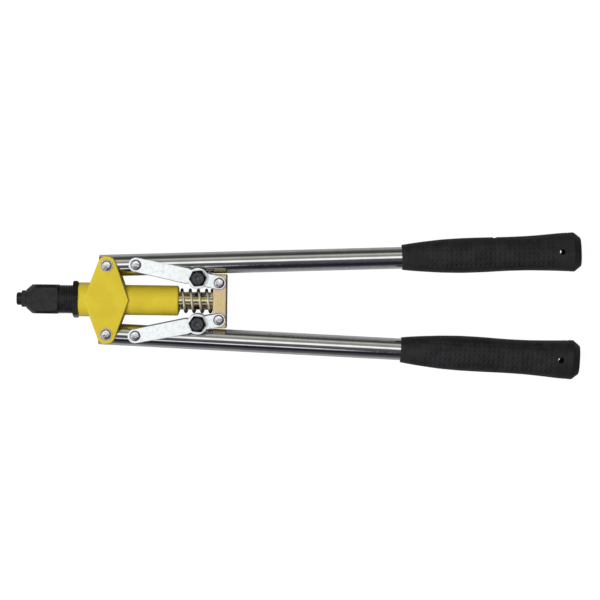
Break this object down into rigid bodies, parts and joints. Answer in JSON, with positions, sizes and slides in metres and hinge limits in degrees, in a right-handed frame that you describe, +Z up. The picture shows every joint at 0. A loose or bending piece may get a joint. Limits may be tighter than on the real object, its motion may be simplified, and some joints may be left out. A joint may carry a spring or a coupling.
{
  "type": "double handle riveter",
  "caption": "Two-handed blind rivet tool: long tube handles pivot on a yoke body and pull a sprung crossbar and jaw set through links.",
  "frame": {"origin": "on the surface that the tool lies on, below the middle of its length and width", "axes": "+X from the nose to the grip ends along the centreline, +Y across the handles to the right one, +Z up from the surface, which is the side the picture shows"},
  "size_m": [0.428, 0.1118, 0.0305],
  "materials": {
    "yellow_paint": "satin",
    "black_oxide_steel": "matte",
    "dark_steel": "satin",
    "bright_zinc": "satin",
    "chrome_tube": "polished",
    "gold_zinc": "satin",
    "spring_steel": "satin",
    "black_grip": "matte"
  },
  "bodies": {
    "body": {"body_casting": "yellow_paint", "nose_sleeve": "black_oxide_steel", "sleeve_lock_nut": "black_oxide_steel", "nosepiece": "black_oxide_steel", "rod_guide_bush": "dark_steel", "spring_seat_washer": "dark_steel", "yoke_pins": "bright_zinc", "yoke_pin_washers": "bright_zinc", "yoke_pin_clips": "dark_steel"},
    "handle_right": {"handle_tube_right": "chrome_tube", "handle_pivot_block_right": "dark_steel", "grip_right": "black_grip"},
    "handle_left": {"handle_tube_left": "chrome_tube", "handle_pivot_block_left": "dark_steel", "grip_left": "black_grip"},
    "link_right": {"link_top_right": "bright_zinc", "link_bottom_right": "bright_zinc", "link_front_pin_right": "bright_zinc", "link_rear_pin_right": "bright_zinc", "link_pin_clips_right": "dark_steel", "stop_bolt_right": "black_oxide_steel", "stop_washer_right": "bright_zinc", "stop_nut_right": "black_oxide_steel"},
    "link_left": {"link_top_left": "bright_zinc", "link_bottom_left": "bright_zinc", "link_front_pin_left": "bright_zinc", "link_rear_pin_left": "bright_zinc", "link_pin_clips_left": "dark_steel", "stop_bolt_left": "black_oxide_steel", "stop_washer_left": "bright_zinc", "stop_nut_left": "black_oxide_steel"},
    "pull_bar": {"pull_rod": "gold_zinc", "crossbar": "gold_zinc", "jaw_case": "dark_steel", "return_spring": "spring_steel"},
    "jaw_set": {"jaws": "dark_steel", "jaw_pusher": "dark_steel", "jaw_spring": "spring_steel"}
  },
  "joints": [
    {"name": "handle_right_pivot", "type": "hinge", "parent": "body", "child": "handle_right", "pos_m": [-0.1453, 0.026, 0.015], "axis": [0, 0, 1], "range_deg": [0, 50]},
    {"name": "handle_left_pivot", "type": "hinge", "parent": "body", "child": "handle_left", "pos_m": [-0.1453, -0.026, 0.015], "axis": [0, 0, -1], "range_deg": [0, 50]},
    {"name": "link_right_pivot", "type": "hinge", "parent": "handle_right", "child": "link_right", "pos_m": [-0.12342, 0.02686, 0.015], "axis": [0, 0, 1], "range_deg": [-65.6, 0]},
    {"name": "link_left_pivot", "type": "hinge", "parent": "handle_left", "child": "link_left", "pos_m": [-0.12342, -0.02686, 0.015], "axis": [0, 0, -1], "range_deg": [-65.6, 0]},
    {"name": "pull_slide", "type": "slide", "parent": "body", "child": "pull_bar", "axis": [-1, 0, 0], "range_m": [0, 0.01424], "stiffness_N_per_m": 400, "deforming": ["return_spring"]},
    {"name": "jaw_slide", "type": "slide", "parent": "pull_bar", "child": "jaw_set", "axis": [1, 0, 0], "range_m": [0, 0.0025], "stiffness_N_per_m": 600, "deforming": ["jaw_spring"]}
  ],
  "couplings": [
    {"joint": "handle_left_pivot", "follows": "handle_right_pivot", "ratio": 1},
    {"joint": "link_right_pivot", "follows": "handle_right_pivot", "ratio": -1.3111},
    {"joint": "link_left_pivot", "follows": "handle_right_pivot", "ratio": -1.3111},
    {"joint": "pull_slide", "follows": "handle_right_pivot", "m_per_rad": 0.016314}
  ]
}
